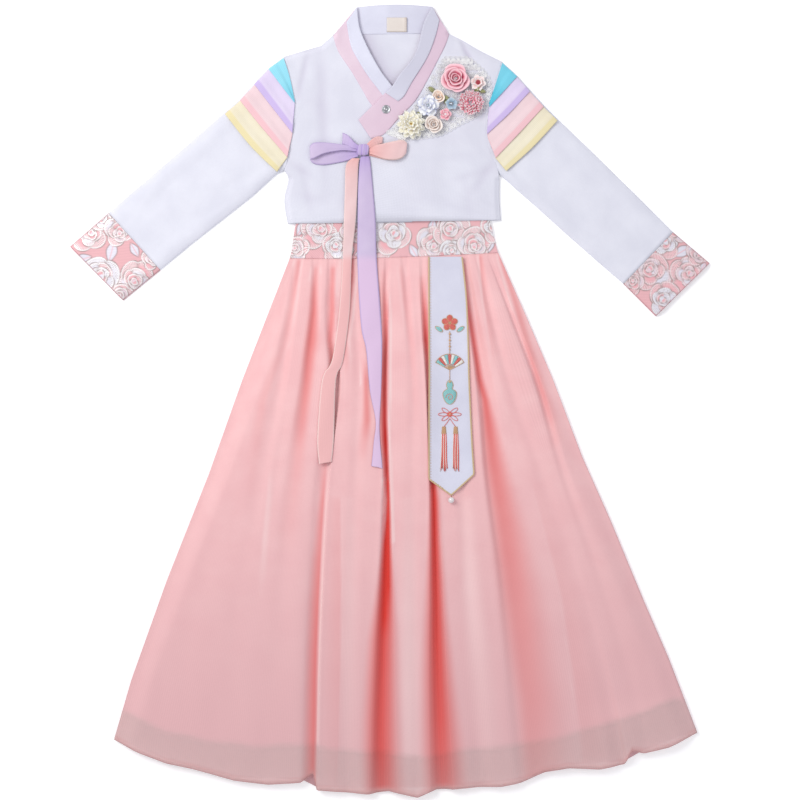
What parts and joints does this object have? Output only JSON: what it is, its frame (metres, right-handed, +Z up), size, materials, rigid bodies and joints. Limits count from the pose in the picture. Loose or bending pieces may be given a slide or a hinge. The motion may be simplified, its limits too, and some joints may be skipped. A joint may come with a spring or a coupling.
{
  "type": "korean hanbok",
  "caption": "Girl's hanbok laid flat: white jacket with banded sleeves, brocade cuffs and ribbon tie over a full pleated pink skirt with waistband and sash.",
  "frame": {"origin": "middle of the laid garment's outline, on the surface that it lies on", "axes": "+Z up out of the surface, out of the garment's front; +Y from the hem towards the neck; +X towards the wearer's left sleeve"},
  "size_m": [0.927, 1.1477, 0.0243],
  "materials": {
    "white_cloth": "plain white cotton blend, fine weave",
    "brocade": "dusty pink jacquard with silver and white roses",
    "blue_voile": "sheer doubled cloth",
    "lavender_voile": "sheer doubled cloth",
    "pink_voile": "sheer doubled cloth",
    "yellow_voile": "sheer doubled cloth",
    "collar_white": "plain white cloth, stiffened",
    "collar_pink": "pale pink cloth, stiffened",
    "label": "blank woven tape",
    "snap_metal": "domed metal snap",
    "lavender_ribbon": "soft matt ribbon",
    "pink_ribbon": "soft matt ribbon",
    "lace": "white corded lace",
    "flower_pink": "pink cloth petals",
    "flower_white": "white cloth petals with a red centre",
    "flower_ivory": "ivory cloth petals",
    "flower_blue": "pale blue cloth petals",
    "pink_chiffon": "sheer pink chiffon over lining",
    "pink_lining": "plain pink lining",
    "sash_white": "white brushed cloth with tan piping and embroidery",
    "pearl": "pearl bead"
  },
  "bodies": {
    "root": {"jacket_back": "white_cloth", "jacket_front_right": "white_cloth", "jacket_front_left": "white_cloth", "sleeve_right": "white_cloth", "sleeve_left": "white_cloth", "cuff_right": "brocade", "cuff_left": "brocade", "waistband_front": "brocade", "waistband_back": "brocade", "band_blue_right": "blue_voile", "band_blue_left": "blue_voile", "band_lavender_right": "lavender_voile", "band_lavender_left": "lavender_voile", "band_pink_right": "pink_voile", "band_pink_left": "pink_voile", "band_yellow_right": "yellow_voile", "band_yellow_left": "yellow_voile", "collar_back": "collar_white", "collar_right": "collar_pink", "collar_left": "collar_pink", "collar_strip_right": "collar_white", "collar_strip_left": "collar_white", "neck_label": "label", "snap_button": "snap_metal", "ribbon_loop_lavender": "lavender_ribbon", "ribbon_end_lavender": "lavender_ribbon", "ribbon_tail_lavender": "lavender_ribbon", "ribbon_loop_pink": "pink_ribbon", "ribbon_end_pink": "pink_ribbon", "ribbon_tail_pink": "pink_ribbon", "ribbon_knot": "lavender_ribbon", "corsage_lace": "lace", "flower_rose": "flower_pink", "flower_carnation": "flower_pink", "flower_small_pink": "flower_pink", "flower_white": "flower_white", "flower_ivory": "flower_ivory", "flower_cream": "flower_ivory", "flower_peach_bud": "flower_ivory", "flower_blue": "flower_blue", "flower_pale_blue": "flower_blue", "skirt_front": "pink_chiffon", "skirt_back": "pink_chiffon", "skirt_lining": "pink_lining", "sash": "sash_white", "sash_pearl": "pearl"}
  },
  "joints": []
}
